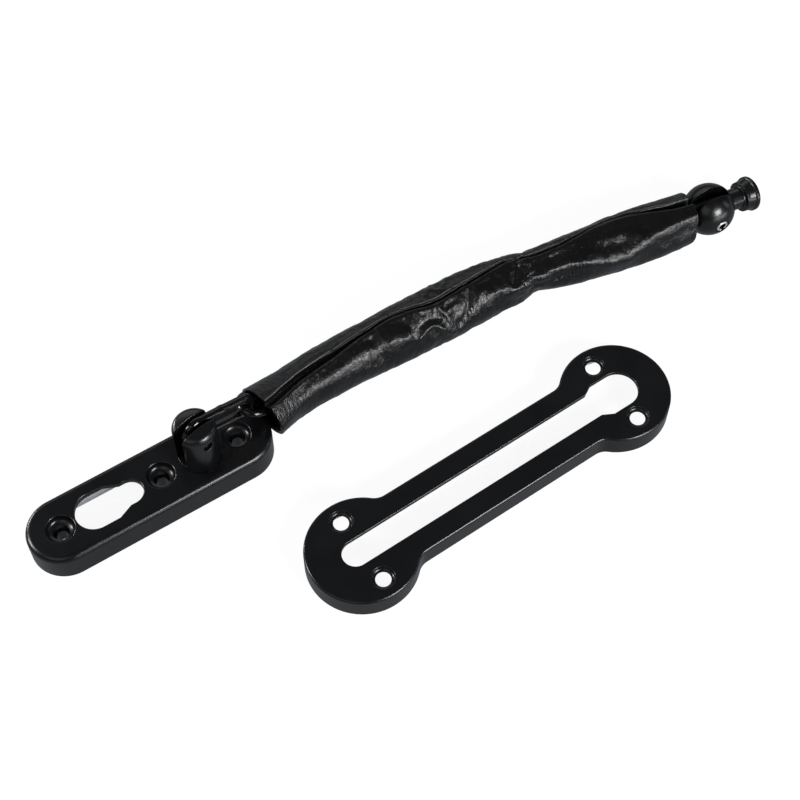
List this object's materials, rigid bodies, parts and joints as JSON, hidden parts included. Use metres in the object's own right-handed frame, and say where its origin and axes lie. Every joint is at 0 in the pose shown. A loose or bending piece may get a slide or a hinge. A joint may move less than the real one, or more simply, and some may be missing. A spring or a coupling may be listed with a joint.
{
  "type": "door chain guard",
  "caption": "Door chain guard: keyhole frame plate with slotted swivel post, welded chain in a leather sleeve, slotted ball with slide button, and a loose hollow track plate.",
  "frame": {"origin": "The middle of the frame plate's back face, on the bottom of its middle screw boss.", "axes": "+X runs along the frame plate from the parking keyhole towards the chain; +Z points out of the door frame, away from the plate's back; +Y completes a right-handed frame. The track plate lies loose on the same surface, on the -Y side."},
  "size_m": [0.2746, 0.0878, 0.0302],
  "materials": {
    "black_enamel": "satin black enamel on zinc die casting",
    "gloss_black": "glossy black enamel on welded steel wire",
    "black_leather": "fine-grained black leather with a soft sheen",
    "bright_steel": "bright nickel-plated spring steel",
    "zinc_plate": "dull zinc plate"
  },
  "bodies": {
    "frame": {"frame_plate": "black_enamel", "post_washer": "zinc_plate"},
    "post": {"swivel_post": "black_enamel", "post_roll_pin": "bright_steel", "post_retaining_ring": "zinc_plate"},
    "link_1": {"chain_link_1": "gloss_black"},
    "link_2": {"chain_link_2": "gloss_black", "sleeve_section_1": "black_leather"},
    "link_3": {"chain_link_3": "gloss_black", "sleeve_section_2": "black_leather"},
    "link_4": {"chain_link_4": "gloss_black", "sleeve_section_3": "black_leather"},
    "link_5": {"chain_link_5": "gloss_black", "sleeve_section_4": "black_leather"},
    "link_6": {"chain_link_6": "gloss_black", "sleeve_section_5": "black_leather"},
    "link_7": {"chain_link_7": "gloss_black", "sleeve_section_6": "black_leather"},
    "link_8": {"chain_link_8": "gloss_black", "sleeve_section_7": "black_leather"},
    "link_9": {"chain_link_9": "gloss_black", "sleeve_section_8": "black_leather"},
    "ball": {"end_ball": "black_enamel", "end_roll_pin": "bright_steel"},
    "track": {"track_plate": "black_enamel"}
  },
  "joints": [
    {"name": "post_swivel", "type": "hinge", "parent": "frame", "child": "post", "pos_m": [0.0175, 0, 0.0109], "axis": [0, 0, 1], "range_deg": [-5, 115]},
    {"name": "link_1_lift", "type": "hinge", "parent": "post", "child": "link_1", "pos_m": [0.0175, 0, 0.0244], "axis": [0.1736, -0.9848, 0], "range_deg": [0, 90]},
    {"name": "link_2_swing", "type": "hinge", "parent": "link_1", "child": "link_2", "pos_m": [0.03874, 0.00375, 0.01672], "axis": [0, 0, 1], "range_deg": [-12, 25]},
    {"name": "link_3_lift", "type": "hinge", "parent": "link_2", "child": "link_3", "pos_m": [0.06003, 0.0058, 0.0091], "axis": [0.0958, -0.9954, 0], "range_deg": [0, 25]},
    {"name": "link_4_swing", "type": "hinge", "parent": "link_3", "child": "link_4", "pos_m": [0.08272, 0.00639, 0.0091], "axis": [0, 0, -1], "range_deg": [-25, 15]},
    {"name": "link_5_lift", "type": "hinge", "parent": "link_4", "child": "link_5", "pos_m": [0.10541, 0.0056, 0.0091], "axis": [-0.0349, -0.9994, 0], "range_deg": [0, 25]},
    {"name": "link_6_swing", "type": "hinge", "parent": "link_5", "child": "link_6", "pos_m": [0.12808, 0.00441, 0.0091], "axis": [0, 0, -1], "range_deg": [-25, 25]},
    {"name": "link_7_lift", "type": "hinge", "parent": "link_6", "child": "link_7", "pos_m": [0.15061, 0.00164, 0.0091], "axis": [-0.1219, -0.9925, 0], "range_deg": [0, 25]},
    {"name": "link_8_swing", "type": "hinge", "parent": "link_7", "child": "link_8", "pos_m": [0.17289, -0.00269, 0.0091], "axis": [0, 0, 1], "range_deg": [-25, 25]},
    {"name": "link_9_lift", "type": "hinge", "parent": "link_8", "child": "link_9", "pos_m": [0.19517, -0.00702, 0.0091], "axis": [-0.1908, -0.9816, 0], "range_deg": [0, 25]},
    {"name": "end_ball_tilt", "type": "hinge", "parent": "link_9", "child": "ball", "pos_m": [0.2138, -0.00865, 0.0091], "axis": [-0.0663, -0.9978, 0], "range_deg": [-4, 80]},
    {"name": "track_plate_lift", "type": "slide", "parent": "frame", "child": "track", "axis": [0, 0, 1], "range_m": [0, 0.04]}
  ]
}
